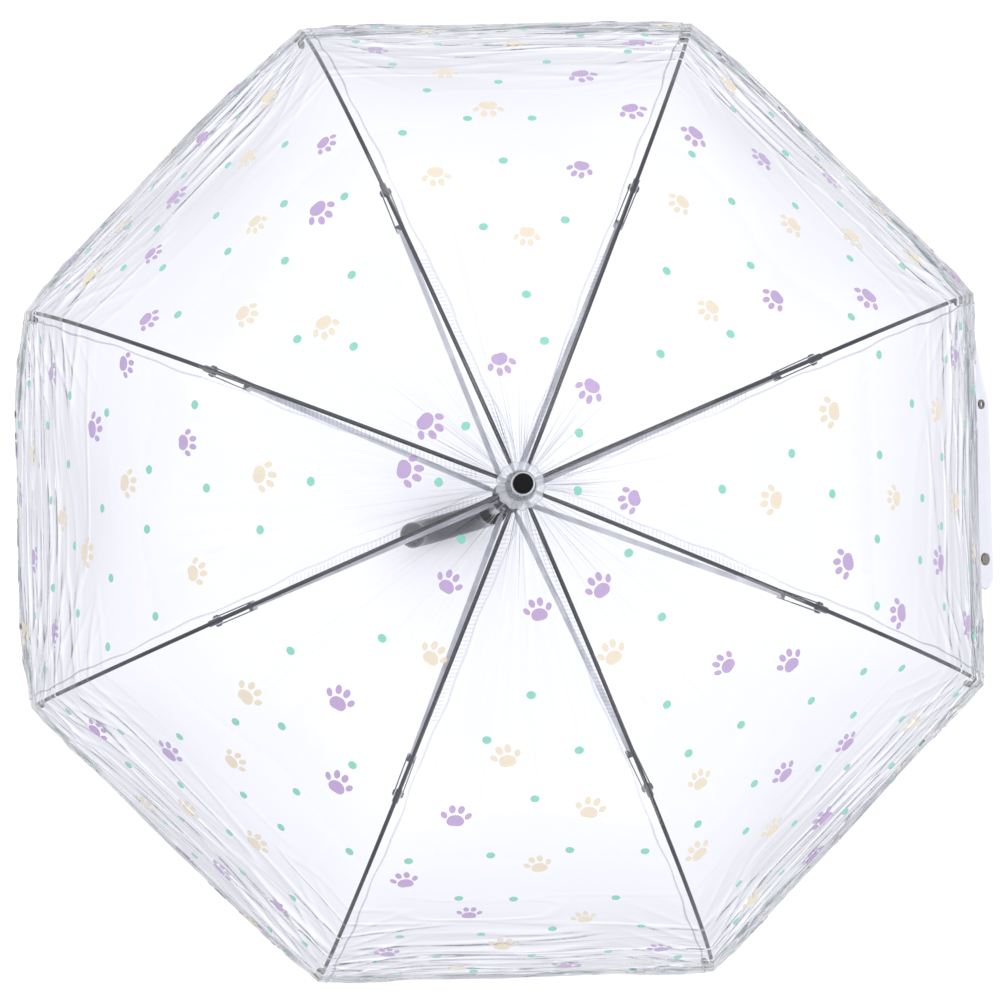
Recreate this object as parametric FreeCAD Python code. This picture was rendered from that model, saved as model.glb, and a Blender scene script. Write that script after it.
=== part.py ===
"""Clear bubble umbrella, open.

Millimetres, +Z up the shaft, origin on the shaft axis in the middle of the hand grip.
Eight ribs hinge on the fixed crown, eight stretchers push them out from the runner,
and a clear film dome of eight rib-centred panels covers them. Heights named DROP
are measured down from the crown, where the ribs hinge.
"""

import FreeCAD, Part
import math
import os

Vector = FreeCAD.Vector

# ---- overall sizes ----
RIB_COUNT = 8
FIRST_RIB_AZIMUTH = 22.5
CANOPY_RADIUS = 410.0  # axis to rib centre line at the shoulder
CROWN_HEIGHT = 730.0  # rib hinges above the middle of the grip
HALF_GORE = 180.0 / RIB_COUNT

# ---- ribs ----
RIB_HINGE_RADIUS = 9.0
RIB_JOINT_RADIUS = 233.0  # where the stretcher meets the rib
START_SLOPE = 8.0  # slope of the rib at the crown, degrees below level
JOINT_SLOPE = 30.0
SKIRT_DROP = 22.0  # straight stretch below the shoulder
ROD_RADIUS = 1.5
ROD_START = 1.3  # rod begins this far out of the hinge centre
TIP_RADIUS = 2.75
TIP_LENGTH = 14.0
TIP_EDGE = 1.2
TIP_SOCKET = 7.0  # rod inside the tip; stays below the hem
FOLD_ANGLE = 41.0  # how far the ribs swing down when the umbrella closes

# ---- hinge eyes, notches and their wires ----
EYE_RADIUS = 1.8
EYE_WIDTH = 2.4
EYE_BORE = 0.9
WIRE_RADIUS = 0.6
WIRE_GAP = 0.1
SLOT_SIDE_GAP = 0.6  # eye to each side of its slot
SLOT_WIDTH = EYE_WIDTH + 2 * SLOT_SIDE_GAP
NOTCH_LIP = 2.5  # notch metal outside the hinge centres
CROWN_NOTCH_TOP = 1.5
CROWN_NOTCH_DROP = 9.0
CROWN_PIN_RISE = 3.5  # pin above the notch's foot
CROWN_PIN_SHORT = 0.5  # pin ends inside the notch's skin

# ---- stretchers ----
STRETCHER_HINGE_RADIUS = 10.0
RUNNER_DROP = 255.0
CHANNEL_WIDTH = 4.0
CHANNEL_HEIGHT = 3.2
CHANNEL_WALL = 0.5
CHANNEL_START = 9.0
CHANNEL_FOOT = 6.0  # solid length before the channel opens
CHANNEL_HEAD = 3.0  # solid length before the fork
FORK_LENGTH = 34.0
LUG_SIDE_GAP = 0.4  # lug to each cheek of the fork
CHEEK = 0.8
CHEEK_ROUND = 2.6
RIVET_RADIUS = 1.8
RIVET_HEAD = 0.7
BRIDGE_LENGTH = 5.0

# ---- rib joint lugs ----
LUG_WIDTH = 4.4
FORK_GAP = LUG_WIDTH + 2 * LUG_SIDE_GAP  # between the cheeks
LUG_LENGTH = 9.0
LUG_PIVOT = 4.2  # pivot below the rod's centre line
LUG_BOSS = 2.4
LUG_TOP = 1.2

# ---- shaft, runner, catches ----
TUBE_RADIUS = 5.0
TUBE_WALL = 0.6
SLIDE_GAP = 0.15
FIT_GAP = 0.05
TUBE_BOTTOM = 5.0
TUBE_ABOVE_CROWN = 40.0
SLEEVE_RADIUS = 9.5
SLEEVE_LENGTH = 45.0
SLEEVE_FLANGE = 11.5
FLANGE_HEIGHT = 5.0
RUNNER_NOTCH_HALF = 5.0
RUNNER_SLOT_FLOOR = 2.4
PIN_RADIUS = 1.0
STOP_PIN_LENGTH = 14.0
STOP_GAP = 1.0
NOSE_WIDTH = 3.0
NOSE_OUT = 3.0
NOSE_HEIGHT = 12.0
SPRING_LENGTH = 36.0
SPRING_THICK = 0.5
SPRING_INSET = 0.5  # spring strip to the tube's inner wall
CATCH_GAP = 0.5
BOTTOM_CATCH_SHARE = 0.6  # how far up the sleeve the lower nose stands, closed
SIDE_GAP = 0.3
KEYWAY_GAP = 0.3

# ---- handle ----
GRIP_RADIUS = 12.0
GRIP_TOP = 45.0
GRIP_BOTTOM = -30.0
GRIP_EDGE = 1.5
CROOK_RADIUS = 38.0
CROOK_RISE = 18.0
CROOK_AZIMUTH = 195.0
COLLAR_RADIUS = 12.6
COLLAR_HEIGHT = 12.0
COLLAR_EDGE = 3.0

# ---- ferrule ----
WASHER_RADIUS = 15.0
WASHER_THICK = 3.0
FERRULE_RADIUS = 8.0
FERRULE_LENGTH = 44.0
FERRULE_FOOT = 10.5
FERRULE_FOOT_HEIGHT = 4.0
FERRULE_RIM = 1.1  # bright rim left round the cap
CAP_RADIUS = FERRULE_RADIUS - FERRULE_RIM
CAP_HEIGHT = 6.0

# ---- film ----
FILM_THICK = 0.4
FILM_GAP = 0.35  # film's inner face above the rods
PANEL_GAP = 0.2  # each panel stops this far short of the middle of its gore
FILM_START_RADIUS = 13.2
HEM_ABOVE_ROD_END = 8.0
WASHER_SINK = 0.35  # the film falls this far below its height at the hinges
WASHER_GAP = ROD_RADIUS + FILM_GAP + FILM_THICK - WASHER_SINK  # its underside above the crown
CROWN_ROOM = 20.0  # the gore wedge reaches this far above the crown

# ---- closing strap, welded to the hem of the gore at azimuth 0 ----
STRAP_LENGTH = 212.0
STRAP_WIDTH = 24.0
STRAP_THICK = 0.8
STRAP_POINT = 60.0  # length of its tapered end
STRAP_POINT_WIDTH = 3.0
STRAP_MIDDLE_Y = 26.0
STRAP_TILT = 45.0
STRAP_GAP = 4.0
STRAP_ABOVE_HEM = 6.0
SNAP_CAP_Y = -55.0
SNAP_RING_Y = 72.0
SNAP_CAP_RADIUS = 5.2
SNAP_CAP_HEIGHT = 2.2
SNAP_RING_RADIUS = 4.0
SNAP_RING_BORE = 2.2
SNAP_RING_HEIGHT = 1.6


# ---- the rib's curve, in its own plane: x outward, z up from the crown ----
def slope_vector(slope):
    """Outward normal of the curve where it slopes down by slope degrees."""
    a = math.radians(slope)
    return Vector(math.sin(a), 0, math.cos(a))


def sine(degrees):
    return math.sin(math.radians(degrees))


INNER_BEND = (RIB_JOINT_RADIUS - RIB_HINGE_RADIUS) / (sine(JOINT_SLOPE) - sine(START_SLOPE))
OUTER_BEND = (CANOPY_RADIUS - RIB_JOINT_RADIUS) / (1 - sine(JOINT_SLOPE))
INNER_CENTRE = Vector(RIB_HINGE_RADIUS, 0, 0) - slope_vector(START_SLOPE) * INNER_BEND
JOINT_POINT = INNER_CENTRE + slope_vector(JOINT_SLOPE) * INNER_BEND
OUTER_CENTRE = JOINT_POINT - slope_vector(JOINT_SLOPE) * OUTER_BEND
SHOULDER = OUTER_CENTRE + slope_vector(90) * OUTER_BEND
ROD_END_Z = SHOULDER.z - SKIRT_DROP

# ---- the linkage, open and closed ----
RUNNER_Z = CROWN_HEIGHT - RUNNER_DROP
LUG_PIVOT_POINT = JOINT_POINT - slope_vector(JOINT_SLOPE) * LUG_PIVOT
RIB_HINGE = Vector(RIB_HINGE_RADIUS, 0, 0)
STRETCHER_HINGE = Vector(STRETCHER_HINGE_RADIUS, 0, -RUNNER_DROP)
STRETCHER = LUG_PIVOT_POINT - STRETCHER_HINGE
OPEN_ANGLE = math.degrees(math.atan2(STRETCHER.z, STRETCHER.x))


def turned_down(point, centre, degrees):
    a = math.radians(degrees)
    d = point - centre
    turned = Vector(
        d.x * math.cos(a) + d.z * math.sin(a), 0, d.z * math.cos(a) - d.x * math.sin(a)
    )
    return centre + turned


CLOSED_LUG = turned_down(LUG_PIVOT_POINT, RIB_HINGE, FOLD_ANGLE)
CLOSED_REACH = CLOSED_LUG.x - STRETCHER_HINGE_RADIUS
CLOSED_ANGLE = math.degrees(math.acos(CLOSED_REACH / STRETCHER.Length))
RUNNER_TRAVEL = -RUNNER_DROP - (CLOSED_LUG.z - STRETCHER.Length * sine(CLOSED_ANGLE))


# ---- small helpers ----
def tube(outer, inner, bottom, top):
    """Hollow cylinder on the shaft axis."""
    body = Part.makeCylinder(outer, top - bottom, Vector(0, 0, bottom))
    return body.cut(Part.makeCylinder(inner, top - bottom + 2, Vector(0, 0, bottom - 1)))


def rod(radius, bottom, top):
    return Part.makeCylinder(radius, top - bottom, Vector(0, 0, bottom))


def across(radius, width, centre):
    """Cylinder along Y, centred on a point."""
    start = centre - Vector(0, width / 2, 0)
    return Part.makeCylinder(radius, width, start, Vector(0, 1, 0))


def block(x0, x1, width, z0, z1):
    """Box centred on the XZ plane."""
    return Part.makeBox(x1 - x0, width, z1 - z0, Vector(x0, -width / 2, z0))


def turned(shape, azimuth, lift=0.0):
    """Copy of a shape made in the XZ plane, swung round the shaft and raised."""
    copy = shape.copy()
    copy.translate(Vector(0, 0, lift))
    copy.rotate(Vector(0, 0, 0), Vector(0, 0, 1), azimuth)
    return copy


def wire_of(points):
    return Part.makePolygon(points + [points[0]])


def rib_azimuth(index):
    return FIRST_RIB_AZIMUTH + index * 360.0 / RIB_COUNT


def bend_edge(centre, radius, slope_a, slope_b):
    middle = (slope_a + slope_b) / 2
    ends = [centre + slope_vector(s) * radius for s in (slope_a, middle, slope_b)]
    return Part.Arc(*ends).toShape()


def curve_edges(offset, start_slope, end_z):
    """The rib's curve moved outward by offset: two arcs and a straight skirt."""
    shoulder = SHOULDER + Vector(offset, 0, 0)
    return [
        bend_edge(INNER_CENTRE, INNER_BEND + offset, start_slope, JOINT_SLOPE),
        bend_edge(OUTER_CENTRE, OUTER_BEND + offset, JOINT_SLOPE, 90),
        Part.LineSegment(shoulder, Vector(shoulder.x, 0, end_z)).toShape(),
    ]


def slope_at(radius):
    return math.degrees(math.asin((radius - INNER_CENTRE.x) / INNER_BEND))


# ---- shaft group ----
def catch_strip_x():
    return TUBE_RADIUS - TUBE_WALL - SPRING_INSET - SPRING_THICK


def catch_spring(top):
    """Flat steel strip inside the tube with a nose that stands out of its slot."""
    x0 = catch_strip_x()
    strip = block(x0, x0 + SPRING_THICK, NOSE_WIDTH, top - SPRING_LENGTH, top)
    out = TUBE_RADIUS + NOSE_OUT
    outline = [
        Vector(x0, 0, top),
        Vector(out, 0, top),
        Vector(out, 0, top - NOSE_HEIGHT / 4),
        Vector(x0 + SPRING_THICK, 0, top - NOSE_HEIGHT),
        Vector(x0, 0, top - NOSE_HEIGHT),
    ]
    nose = Part.Face(wire_of(outline)).extrude(Vector(0, NOSE_WIDTH, 0))
    nose.translate(Vector(0, -NOSE_WIDTH / 2, 0))
    return strip.fuse(nose).removeSplitter()


def catch_slot(top):
    return block(
        0, TUBE_RADIUS + 1, NOSE_WIDTH + 2 * SIDE_GAP, top - NOSE_HEIGHT - 1, top + 1
    )


TOP_CATCH_TOP = RUNNER_Z - RUNNER_NOTCH_HALF - SLEEVE_LENGTH - CATCH_GAP
BOTTOM_CATCH_TOP = TOP_CATCH_TOP - RUNNER_TRAVEL + SLEEVE_LENGTH * BOTTOM_CATCH_SHARE
STOP_PIN_Z = RUNNER_Z + RUNNER_NOTCH_HALF + STOP_GAP + PIN_RADIUS
CROWN_PIN_Z = CROWN_HEIGHT - CROWN_NOTCH_DROP + CROWN_PIN_RISE


def cross_pin(z, length, azimuth, extra=0.0):
    pin = across(PIN_RADIUS + extra, length, Vector(0, 0, z))
    pin.rotate(Vector(0, 0, 0), Vector(0, 0, 1), azimuth)
    return pin


CROWN_PIN_LENGTH = 2 * (RIB_HINGE_RADIUS + NOTCH_LIP - CROWN_PIN_SHORT)


def shaft_tube():
    top = CROWN_HEIGHT + TUBE_ABOVE_CROWN
    body = tube(TUBE_RADIUS, TUBE_RADIUS - TUBE_WALL, TUBE_BOTTOM, top)
    for catch_top in (TOP_CATCH_TOP, BOTTOM_CATCH_TOP):
        body = body.cut(catch_slot(catch_top))
    body = body.cut(cross_pin(STOP_PIN_Z, STOP_PIN_LENGTH, 0, FIT_GAP))
    return body.cut(cross_pin(CROWN_PIN_Z, CROWN_PIN_LENGTH, 0, FIT_GAP))


def notch(hinge_radius, bore, bottom, top, slot_bottom):
    """Slotted ring that holds the hinge eyes, with a channel for their wire."""
    body = tube(hinge_radius + NOTCH_LIP, bore, bottom, top)
    slot_start = hinge_radius - EYE_RADIUS - 2 * SIDE_GAP
    cutter = block(slot_start, hinge_radius + NOTCH_LIP + 1, SLOT_WIDTH, slot_bottom, top + 1)
    for index in range(RIB_COUNT):
        body = body.cut(turned(cutter, rib_azimuth(index)))
    return body.cut(Part.makeTorus(hinge_radius, WIRE_RADIUS + WIRE_GAP))


def top_notch():
    body = notch(
        RIB_HINGE_RADIUS,
        TUBE_RADIUS + FIT_GAP,
        -CROWN_NOTCH_DROP,
        CROWN_NOTCH_TOP,
        -CROWN_NOTCH_DROP - 1,
    )
    body.translate(Vector(0, 0, CROWN_HEIGHT))
    return body.cut(cross_pin(CROWN_PIN_Z, CROWN_PIN_LENGTH + 2, 0, FIT_GAP))


def wire_ring(radius, z):
    ring = Part.makeTorus(radius, WIRE_RADIUS)
    ring.translate(Vector(0, 0, z))
    return ring


def washer():
    bottom = CROWN_HEIGHT + WASHER_GAP
    body = tube(WASHER_RADIUS, TUBE_RADIUS + FIT_GAP, bottom, bottom + WASHER_THICK)
    rim = [e for e in body.Edges if abs(e.BoundBox.XLength - 2 * WASHER_RADIUS) < 0.1]
    return body.makeFillet(WASHER_THICK * 0.45, rim)


FERRULE_BOTTOM = CROWN_HEIGHT + WASHER_GAP + WASHER_THICK
FERRULE_TOP = FERRULE_BOTTOM + FERRULE_LENGTH


def ferrule():
    foot = Part.makeCone(
        FERRULE_FOOT, FERRULE_RADIUS, FERRULE_FOOT_HEIGHT, Vector(0, 0, FERRULE_BOTTOM)
    )
    body = foot.fuse(rod(FERRULE_RADIUS, FERRULE_BOTTOM + FERRULE_FOOT_HEIGHT, FERRULE_TOP))
    bore_top = CROWN_HEIGHT + TUBE_ABOVE_CROWN + 1
    bore = rod(TUBE_RADIUS + FIT_GAP, FERRULE_BOTTOM - 1, bore_top)
    return body.cut(bore).removeSplitter()


def ferrule_cap():
    body = rod(CAP_RADIUS, FERRULE_TOP, FERRULE_TOP + CAP_HEIGHT)
    top_edges = [e for e in body.Edges if e.BoundBox.ZMin > FERRULE_TOP + CAP_HEIGHT - 0.1]
    return body.makeFillet(CAP_HEIGHT * 0.4, top_edges)


# ---- handle ----
def handle():
    """Straight grip that turns into a crook and ends in a domed tip."""
    grip = rod(GRIP_RADIUS, GRIP_BOTTOM, GRIP_TOP)
    top_edges = [e for e in grip.Edges if e.BoundBox.ZMin > GRIP_TOP - 0.1]
    grip = grip.makeFillet(GRIP_EDGE, top_edges)
    circle = Part.Face(Part.Wire(Part.makeCircle(GRIP_RADIUS, Vector(0, 0, GRIP_BOTTOM))))
    bend = circle.revolve(Vector(CROOK_RADIUS, 0, GRIP_BOTTOM), Vector(0, -1, 0), 180)
    end = Vector(2 * CROOK_RADIUS, 0, GRIP_BOTTOM)
    rise = Part.makeCylinder(GRIP_RADIUS, CROOK_RISE - GRIP_RADIUS / 2, end)
    dome = Part.makeSphere(GRIP_RADIUS, end + Vector(0, 0, CROOK_RISE - GRIP_RADIUS / 2))
    body = grip.fuse([bend, rise, dome]).removeSplitter()
    socket = rod(TUBE_RADIUS + FIT_GAP, TUBE_BOTTOM - 1, GRIP_TOP + 1)
    return turned(body.cut(socket), CROOK_AZIMUTH)


def handle_collar():
    body = tube(COLLAR_RADIUS, TUBE_RADIUS + FIT_GAP, GRIP_TOP, GRIP_TOP + COLLAR_HEIGHT)
    top = GRIP_TOP + COLLAR_HEIGHT
    rim = [
        e
        for e in body.Edges
        if e.BoundBox.ZMin > top - 0.1 and e.BoundBox.XLength > COLLAR_RADIUS
    ]
    return body.makeFillet(COLLAR_EDGE, rim)


# ---- runner group ----
def keyway(bottom, top):
    """Groove along the runner's bore that lets it pass the catch noses."""
    reach = TUBE_RADIUS + NOSE_OUT + KEYWAY_GAP
    return block(0, reach, NOSE_WIDTH + 2 * SIDE_GAP, bottom, top)


def runner_sleeve():
    top = RUNNER_Z - RUNNER_NOTCH_HALF
    bottom = top - SLEEVE_LENGTH
    body = tube(SLEEVE_RADIUS, TUBE_RADIUS + SLIDE_GAP, bottom, top)
    flange = tube(SLEEVE_FLANGE, TUBE_RADIUS + SLIDE_GAP, bottom, bottom + FLANGE_HEIGHT)
    rim = [e for e in flange.Edges if e.BoundBox.XLength > 2 * SLEEVE_FLANGE - 0.1]
    rim = [e for e in rim if e.BoundBox.ZLength < 0.1]
    flange = flange.makeFillet(FLANGE_HEIGHT * 0.35, rim)
    return body.fuse(flange).removeSplitter().cut(keyway(bottom - 1, top + 1))


def runner_notch():
    body = notch(
        STRETCHER_HINGE_RADIUS,
        TUBE_RADIUS + SLIDE_GAP,
        -RUNNER_NOTCH_HALF,
        RUNNER_NOTCH_HALF,
        -RUNNER_SLOT_FLOOR,
    )
    body.translate(Vector(0, 0, RUNNER_Z))
    return body.cut(keyway(RUNNER_Z - RUNNER_NOTCH_HALF - 1, RUNNER_Z + RUNNER_NOTCH_HALF + 1))


# ---- one rib, its tip and its joint lug, in the XZ plane ----
def eye(centre):
    return across(EYE_RADIUS, EYE_WIDTH, centre).cut(across(EYE_BORE, EYE_WIDTH + 2, centre))


def rib_rod():
    start_slope = slope_at(RIB_HINGE_RADIUS + ROD_START)
    path = Part.Wire(curve_edges(0.0, start_slope, ROD_END_Z))
    start = INNER_CENTRE + slope_vector(start_slope) * INNER_BEND
    along = Vector(slope_vector(start_slope).z, 0, -slope_vector(start_slope).x)
    ring = Part.Wire(Part.makeCircle(ROD_RADIUS, start, along))
    body = path.makePipeShell([ring], True, True)
    body = body.cut(across(EYE_BORE, 2 * ROD_RADIUS + 2, RIB_HINGE))
    return body.fuse(eye(RIB_HINGE)).removeSplitter()


def rib_tip():
    top = ROD_END_Z + TIP_SOCKET
    end = Vector(SHOULDER.x, 0, top - TIP_LENGTH)
    body = Part.makeCylinder(TIP_RADIUS, TIP_LENGTH, end)
    body = body.makeFillet(TIP_EDGE, [e for e in body.Edges if e.BoundBox.ZLength < 0.01])
    hole = Part.makeCylinder(
        ROD_RADIUS + FIT_GAP, TIP_SOCKET + 2, Vector(SHOULDER.x, 0, ROD_END_Z - FIT_GAP)
    )
    return body.cut(hole)


def rib_lug():
    """Built level round the origin, then laid along the rib at the joint."""
    body = block(-LUG_LENGTH / 2, LUG_LENGTH / 2, LUG_WIDTH, -LUG_PIVOT + 1, LUG_TOP)
    body = body.fuse(across(LUG_BOSS, LUG_WIDTH, Vector(0, 0, -LUG_PIVOT))).removeSplitter()
    hole_start = Vector(-LUG_LENGTH, 0, 0)
    hole = Part.makeCylinder(ROD_RADIUS + 2 * FIT_GAP, 2 * LUG_LENGTH, hole_start, Vector(1, 0, 0))
    body = body.cut(hole)
    body.rotate(Vector(0, 0, 0), Vector(0, 1, 0), JOINT_SLOPE)
    body.translate(JOINT_POINT)
    return body


# ---- one stretcher, in the XZ plane ----
def stretcher():
    """Built along +X from the runner hinge, then turned up to the rib joint."""
    length = STRETCHER.Length
    end = length - FORK_LENGTH
    half = CHANNEL_HEIGHT / 2
    channel = block(CHANNEL_START, end, CHANNEL_WIDTH, -half, half)
    inside = CHANNEL_WIDTH - 2 * CHANNEL_WALL
    hollow_start, hollow_end = CHANNEL_START + CHANNEL_FOOT, end - CHANNEL_HEAD
    roof = half - CHANNEL_WALL
    channel = channel.cut(block(hollow_start, hollow_end, inside, -half - 1, roof))
    neck = block(EYE_BORE + 0.3, CHANNEL_START + 1, EYE_WIDTH, -EYE_WIDTH / 2, EYE_WIDTH / 2)
    fork_width = FORK_GAP + 2 * CHEEK
    bridge = block(end - 1, end + BRIDGE_LENGTH - 1, fork_width, -half, half)
    pieces = [neck, eye(Vector(0, 0, 0)), bridge]
    tip = Vector(length, 0, 0)
    for side in (-1, 1):
        middle = side * (FORK_GAP + CHEEK) / 2
        cheek = block(end, length, CHEEK, -half, half)
        cheek = cheek.fuse(across(CHEEK_ROUND, CHEEK, tip))
        cheek.translate(Vector(0, middle, 0))
        head = across(RIVET_RADIUS, RIVET_HEAD, tip)
        head.translate(Vector(0, side * (fork_width + RIVET_HEAD) / 2, 0))
        pieces += [cheek, head]
    body = channel.fuse(pieces).removeSplitter()
    body.rotate(Vector(0, 0, 0), Vector(0, 1, 0), -OPEN_ANGLE)
    body.translate(STRETCHER_HINGE)
    return body


# ---- one film panel, centred on its rib ----
def film_panel():
    """Both halves run level from the rib to the middle of their gores."""
    inner = ROD_RADIUS + FILM_GAP
    outer = inner + FILM_THICK
    start = slope_at(FILM_START_RADIUS)
    hem_z = ROD_END_Z + HEM_ABOVE_ROD_END
    outside = curve_edges(outer, start, hem_z)
    inside = curve_edges(inner, start, hem_z)
    start_line = Part.LineSegment(
        INNER_CENTRE + slope_vector(start) * (INNER_BEND + inner),
        INNER_CENTRE + slope_vector(start) * (INNER_BEND + outer),
    ).toShape()
    hem_line = Part.LineSegment(
        Vector(SHOULDER.x + inner, 0, hem_z), Vector(SHOULDER.x + outer, 0, hem_z)
    ).toShape()
    edges = Part.sortEdges([start_line, hem_line] + outside + inside)[0]
    face = Part.Face(Part.Wire(edges))
    reach = (CANOPY_RADIUS + outer) * sine(HALF_GORE) * 1.1
    a = math.radians(HALF_GORE)
    half = face.extrude(Vector(-math.sin(a), math.cos(a), 0) * reach)
    apex = PANEL_GAP / math.sin(a)
    far = CANOPY_RADIUS * 1.5
    wedge_outline = [
        Vector(apex, 0, 0),
        Vector(far, 0, 0),
        Vector(far, (far - apex) * math.tan(a), 0),
    ]
    wedge = Part.Face(wire_of(wedge_outline)).extrude(Vector(0, 0, CROWN_HEIGHT))
    wedge.translate(Vector(0, 0, CROWN_ROOM - CROWN_HEIGHT))
    half = half.common(wedge)
    other = half.mirror(Vector(0, 0, 0), Vector(0, 1, 0))
    return half.fuse(other).removeSplitter()


# ---- closing strap and its snap ----
HEM_Z = CROWN_HEIGHT + ROD_END_Z + HEM_ABOVE_ROD_END
HEM_FACE_X = (SHOULDER.x + ROD_RADIUS + FILM_GAP + FILM_THICK) * math.cos(
    math.radians(HALF_GORE)
)


def strap_placed(shape):
    """Moves a shape made flat on the strap's own plane to its place on the hem."""
    copy = shape.copy()
    copy.rotate(Vector(0, 0, 0), Vector(0, 1, 0), STRAP_TILT)
    copy.translate(Vector(HEM_FACE_X + STRAP_GAP, 0, HEM_Z + STRAP_ABOVE_HEM))
    return copy


def closure_strap():
    low = STRAP_MIDDLE_Y - STRAP_LENGTH / 2
    high = STRAP_MIDDLE_Y + STRAP_LENGTH / 2
    round_end = STRAP_WIDTH / 2
    outline = [
        Part.LineSegment(Vector(0, low + round_end, 0), Vector(0, high, 0)),
        Part.LineSegment(Vector(0, high, 0), Vector(STRAP_POINT_WIDTH, high, 0)),
        Part.LineSegment(
            Vector(STRAP_POINT_WIDTH, high, 0), Vector(STRAP_WIDTH, high - STRAP_POINT, 0)
        ),
        Part.LineSegment(
            Vector(STRAP_WIDTH, high - STRAP_POINT, 0), Vector(STRAP_WIDTH, low + round_end, 0)
        ),
        Part.Arc(
            Vector(STRAP_WIDTH, low + round_end, 0),
            Vector(STRAP_WIDTH / 2, low, 0),
            Vector(0, low + round_end, 0),
        ),
    ]
    face = Part.Face(Part.Wire([piece.toShape() for piece in outline]))
    return strap_placed(face.extrude(Vector(0, 0, STRAP_THICK)))


def snap_cap():
    base = Vector(STRAP_WIDTH / 2, SNAP_CAP_Y, STRAP_THICK)
    body = Part.makeCylinder(SNAP_CAP_RADIUS, SNAP_CAP_HEIGHT, base)
    top = [e for e in body.Edges if e.BoundBox.ZMin > STRAP_THICK + SNAP_CAP_HEIGHT - 0.1]
    return strap_placed(body.makeFillet(SNAP_CAP_HEIGHT * 0.6, top))


def snap_socket():
    base = Vector(STRAP_WIDTH / 2, SNAP_RING_Y, STRAP_THICK)
    body = Part.makeCylinder(SNAP_RING_RADIUS, SNAP_RING_HEIGHT, base)
    hole = Part.makeCylinder(SNAP_RING_BORE, SNAP_RING_HEIGHT + 1, base)
    top = [e for e in body.Edges if e.BoundBox.ZMin > STRAP_THICK + SNAP_RING_HEIGHT - 0.1]
    return strap_placed(body.makeFillet(0.5, top).cut(hole))


def all_nodes():
    """Every node's name and solid."""
    nodes = {
        "shaft_tube": shaft_tube(),
        "ferrule": ferrule(),
        "ferrule_cap": ferrule_cap(),
        "canopy_washer": washer(),
        "top_notch": top_notch(),
        "crown_ring": wire_ring(RIB_HINGE_RADIUS, CROWN_HEIGHT),
        "crown_pin": cross_pin(CROWN_PIN_Z, CROWN_PIN_LENGTH, 0),
        "runner_stop": cross_pin(STOP_PIN_Z, STOP_PIN_LENGTH, 0),
        "handle": handle(),
        "handle_collar": handle_collar(),
        "top_spring": catch_spring(TOP_CATCH_TOP),
        "bottom_spring": catch_spring(BOTTOM_CATCH_TOP),
        "runner_sleeve": runner_sleeve(),
        "runner_notch": runner_notch(),
        "runner_ring": wire_ring(STRETCHER_HINGE_RADIUS, RUNNER_Z),
        "closure_strap": closure_strap(),
        "snap_cap": snap_cap(),
        "snap_socket": snap_socket(),
    }
    repeated = {
        "rib": rib_rod(),
        "rib_tip": rib_tip(),
        "rib_joint": rib_lug(),
        "stretcher": stretcher(),
        "canopy_panel": film_panel(),
    }
    for name, shape in repeated.items():
        for index in range(RIB_COUNT):
            nodes[f"{name}_{index + 1}"] = turned(shape, rib_azimuth(index), CROWN_HEIGHT)
    return nodes


os.makedirs("parts", exist_ok=True)
for node_name, node_shape in all_nodes().items():
    if node_shape.ShapeType == "Compound" and len(node_shape.Solids) == 1:
        node_shape = node_shape.Solids[0]
    node_shape.exportStep(f"parts/{node_name}.step")
    print(f"{node_name}: {len(node_shape.Solids)} solid, {node_shape.Volume / 1000:.2f} cm3")
print(f"runner travel {RUNNER_TRAVEL:.2f}, stretcher {OPEN_ANGLE:.2f} to {CLOSED_ANGLE:.2f} degrees")
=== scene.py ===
"""Clear bubble umbrella: its looks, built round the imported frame.

Metres, +Z up the shaft, origin in the middle of the hand grip. The canopy is clear
vinyl film in eight gores. Each film piece is centred on one rib and ends at the
middle of its two gores, so that it follows that rib when the umbrella folds.
A place on a gore is (across, down): the distance from the gore's middle line,
anticlockwise positive, and the distance down from the crown along the ribs' curve.
"""

import math

import bpy
import numpy as np
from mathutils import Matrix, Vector


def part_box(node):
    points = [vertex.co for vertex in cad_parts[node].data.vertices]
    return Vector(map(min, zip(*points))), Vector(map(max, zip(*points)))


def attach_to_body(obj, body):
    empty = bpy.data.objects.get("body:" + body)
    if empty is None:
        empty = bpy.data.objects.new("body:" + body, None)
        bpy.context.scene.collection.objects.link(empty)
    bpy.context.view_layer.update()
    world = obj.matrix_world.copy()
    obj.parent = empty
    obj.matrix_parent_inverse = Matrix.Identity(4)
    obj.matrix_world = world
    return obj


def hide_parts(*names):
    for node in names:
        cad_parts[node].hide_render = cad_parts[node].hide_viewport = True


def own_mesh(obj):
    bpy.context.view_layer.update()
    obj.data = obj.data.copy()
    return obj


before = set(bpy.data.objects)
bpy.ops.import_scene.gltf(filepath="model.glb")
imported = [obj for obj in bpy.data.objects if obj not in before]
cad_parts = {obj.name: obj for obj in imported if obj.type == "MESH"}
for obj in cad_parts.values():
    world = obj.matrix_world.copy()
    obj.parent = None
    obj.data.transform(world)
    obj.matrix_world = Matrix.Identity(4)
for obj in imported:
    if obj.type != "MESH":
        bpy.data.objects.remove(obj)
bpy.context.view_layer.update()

MM = 0.001

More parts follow.
